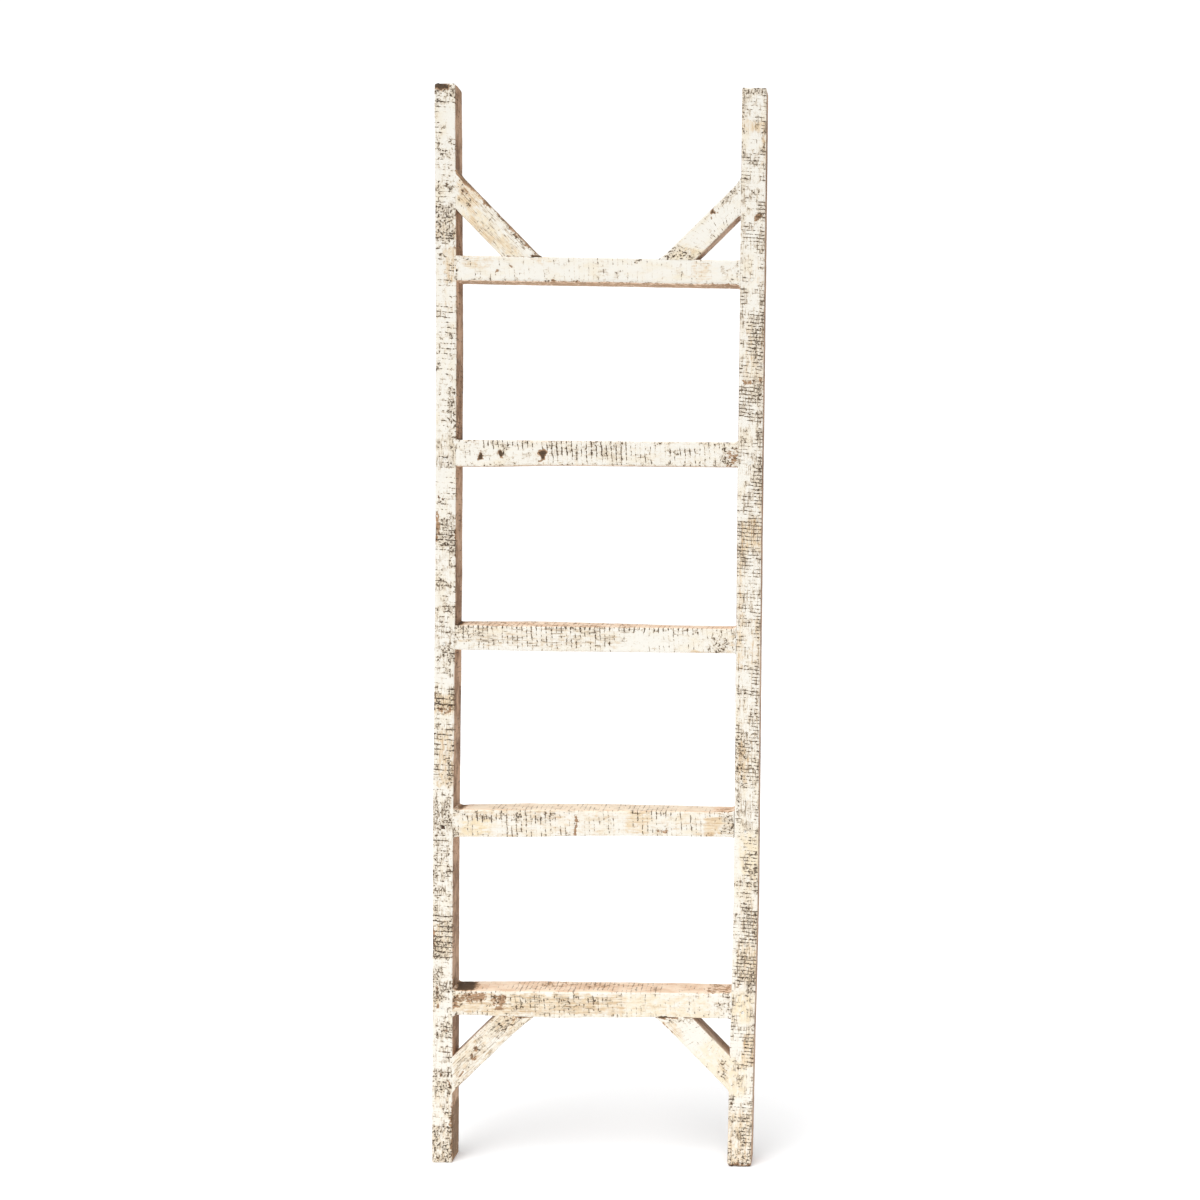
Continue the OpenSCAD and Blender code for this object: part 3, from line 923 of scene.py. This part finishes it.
def make_rail(name, inner_side, seed, material):
    word = name.split("_")[0]
    lo, hi = (Vector(corner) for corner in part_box(name))
    middle = (lo.x + hi.x) / 2
    pockets = []
    for rung in RUNGS:
        low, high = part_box(f"{rung}_{word}_nail")
        across = (low[0] + high[0]) / 2 - middle
        drop = low[1] - lo.y + HOLE_PAST_HEAD
        pockets.append(((low[2] + high[2]) / 2, across, drop, HOLE_RADIUS))
    rail = Timber(
        name, (middle, (lo.y + hi.y) / 2, lo.z), (0, 0, 1), (1, 0, 0),
        (hi.z - lo.z, hi.x - lo.x, hi.y - lo.y), seed,
        patches=patches_of(MM, RAIL_PATCHES[name]), bend=curve_of(RAIL_BEND[name], MM),
        chips=RAIL_CHIPS[name], columns=RAIL_COLUMNS[name], end_wear=RAIL_END_WEAR[name],
        shielded=joints_on_rail(inner_side), open_ends=(True, True), pockets=pockets,
        pitch=SAW_PITCH[name], wander=RAIL_WANDER[name])
    return finish_timber(rail, name, material)


def make_rung(name, seed, material):
    lo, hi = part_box(name)
    start = GAP_LEFT - BEDDED
    length = GAP_RIGHT - GAP_LEFT + 2 * BEDDED
    chips = [
        (side, -1, share * length, half * length, size * MM)
        for side, share, half, size in RUNG_CHIPS[name]]
    rung = Timber(
        name, (start, (lo[1] + hi[1]) / 2, (lo[2] + hi[2]) / 2), (1, 0, 0), (0, 0, 1),
        (length, hi[2] - lo[2], hi[1] - lo[1]), seed,
        patches=patches_of(length, RUNG_PATCHES[name], RUNG_END_PATCHES),
        bend=curve_of(RUNG_BEND[name], length), crown=curve_of(RUNG_CROWN[name], length),
        hang=curve_of(RUNG_HANG[name], length), chips=chips, fillets=RUNG_FILLETS[name],
        worn=RUNG_WORN[name], pitch=SAW_PITCH["rung"], steps=FINE_STEPS)
    return finish_timber(rung, name, material)


def make_brace(corner, seed, material):
    """A brace runs from the rail's face to the rung's face at 45 degrees, cut to both."""
    name = f"{corner}_brace"
    lo, hi = (Vector(end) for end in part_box(name))
    side = 1 if corner.endswith("left") else -1
    up = 1 if corner.startswith("top") else -1
    leg = hi.x - lo.x
    width = BRACE_WIDTH + BRACE_WIDER[corner]
    corner_x = lo.x if side > 0 else hi.x
    corner_z = lo.z if up > 0 else hi.z
    root = math.sqrt(0.5)
    along = Vector((side * root, 0.0, -up * root))
    across = Vector((side * root, 0.0, up * root))
    # The outer edge meets both faces a leg from the corner. The middle line lies half a width in.
    reach = leg - width / 2 / root
    extra = BEDDED / root
    length = reach / root + 2 * extra
    origin = Vector((corner_x, (lo.y + hi.y) / 2, corner_z + up * reach)) - along * extra
    brace = Timber(
        name, origin, along, across, (length, width, hi.y - lo.y), seed, worn=BRACE_WORN,
        patches=patches_of(length, BRACE_PATCHES[corner]), trims=(-1.0, 1.0),
        fillets=BRACE_FILLETS[corner], pitch=SAW_PITCH["brace"], steps=FINE_STEPS)
    return finish_timber(brace, name, material)


def finish_timber(timber, node, material):
    """Builds a timber and ties it to its CAD node."""
    piece = timber.build()
    piece.name = f"{node}_timber"
    piece.data.materials.append(material)
    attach(piece, "root")
    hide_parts(node)
    return piece


def make_ladder():
    # The rails' sides get darker browns than the rungs': bare wood, and painted shade on the sides that
    # turn away from the light.
    rail_wood_shaded_sides = whitewashed_wood(
        "rail_whitewash", srgb(206, 170, 140), srgb(146, 112, 86), wash=0.25, wear=1.0)
    rung_wood = whitewashed_wood(
        "rung_whitewash", srgb(240, 218, 194), srgb(220, 186, 156), wash=0.55, wear=0.8)
    brace_wood = whitewashed_wood(
        "brace_whitewash", srgb(206, 182, 160), srgb(156, 132, 112), wash=0.20, wear=0.7)
    make_rail("left_rail", 1, 101, rail_wood_shaded_sides)
    make_rail("right_rail", -1, 202, rail_wood_shaded_sides)
    for place, name in enumerate(RUNGS):
        make_rung(name, 300 + 17 * place, rung_wood)
    for place, corner in enumerate(CORNERS):
        make_brace(corner, 400 + 19 * place, brace_wood)


def paint_nails():
    """The nails are painted over with the rest, but for the one whose paint has come off."""
    covered = nail_steel("painted_nail", 0.9)
    rusty = nail_steel("rusty_nail", 0.0)
    for name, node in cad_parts.items():
        if name.endswith("nail"):
            for material_slot in node.material_slots:
                material_slot.material = rusty if name == "rung_4_left_nail" else covered


# ---- stage, light and camera

# The camera is fitted to the edges of the rails and rungs. Its place is from the ladder's middle.
CAMERA_FROM_MIDDLE = Vector((0.393, -2.122, 0.1885))
CAMERA_DROP_DEG = 2.23
CAMERA_ROLL_DEG = 0.85
LENS_MM = 40.6
SENSOR_MM = 36.0
LENS_SHIFT = (-0.208, -0.026)

# The way the main light shines, how strong it is, and how wide its source looks.
KEY_WAY = Vector((0.22, 0.42, -0.88))
KEY_STRENGTH = 2.85
KEY_WIDTH_DEG = 58

# The white that the camera sees behind the ladder, and the paler light that the studio gives.
SEEN_WHITE = ((1.0, 1.0, 1.0, 1.0), 1.1)
STUDIO_LIGHT = ((0.97, 0.98, 1.0, 1.0), 0.42)

# The floor reaches this far from the middle, in squares of a metre, and lies just under the feet.
FLOOR_REACH = 6
FLOOR_GAP = 0.2 * MM


def make_stage():
    mesh = bpy.data.meshes.new("floor")
    count = 2 * FLOOR_REACH + 1
    steps = np.linspace(-FLOOR_REACH, FLOOR_REACH, count)
    points = [(x, y, 0.0) for y in steps for x in steps]
    faces = []
    for row, column in itertools.product(range(count - 1), repeat=2):
        first = row * count + column
        faces.append((first, first + 1, first + count + 1, first + count))
    mesh.from_pydata(points, [], faces)
    mesh.materials.append(pale_floor("studio_floor"))
    floor = add_object("floor", mesh)
    floor.location.z = cad_box[0][2] - FLOOR_GAP


def make_light():
    """Soft light from above, in front and a little from the left, and a white studio all round."""
    lamp = bpy.data.lights.new("key", "SUN")
    lamp.energy = KEY_STRENGTH
    lamp.angle = math.radians(KEY_WIDTH_DEG)
    key = add_object("key", lamp)
    key.rotation_euler = (-KEY_WAY).to_track_quat("Z", "Y").to_euler()
    world = bpy.data.worlds.new("studio")
    world.use_nodes = True
    tree = world.node_tree
    tree.nodes.clear()
    path = tree.nodes.new("ShaderNodeLightPath")
    mix = tree.nodes.new("ShaderNodeMixShader")
    out = tree.nodes.new("ShaderNodeOutputWorld")
    tree.links.new(path.outputs["Is Camera Ray"], mix.inputs[0])
    for place, (colour, strength) in enumerate((STUDIO_LIGHT, SEEN_WHITE), start=1):
        white = tree.nodes.new("ShaderNodeBackground")
        white.inputs["Color"].default_value = colour
        white.inputs["Strength"].default_value = strength
        tree.links.new(white.outputs[0], mix.inputs[place])
    tree.links.new(mix.outputs[0], out.inputs["Surface"])
    scene = bpy.context.scene
    scene.world = world
    scene.view_settings.view_transform = "Standard"
    scene.view_settings.look = "None"


def make_camera():
    data = bpy.data.cameras.new("camera")
    data.sensor_width = SENSOR_MM
    data.lens = LENS_MM
    data.shift_x, data.shift_y = LENS_SHIFT
    camera = add_object("camera", data)
    middle = (Vector(cad_box[0]) + Vector(cad_box[1])) / 2
    camera.location = middle + CAMERA_FROM_MIDDLE
    level = Euler((math.radians(90 - CAMERA_DROP_DEG), 0, 0)).to_matrix()
    roll = Euler((0, 0, math.radians(CAMERA_ROLL_DEG))).to_matrix()
    camera.rotation_euler = (level @ roll).to_euler()
    bpy.context.scene.camera = camera


make_camera()
make_stage()
make_light()
make_ladder()
paint_nails()
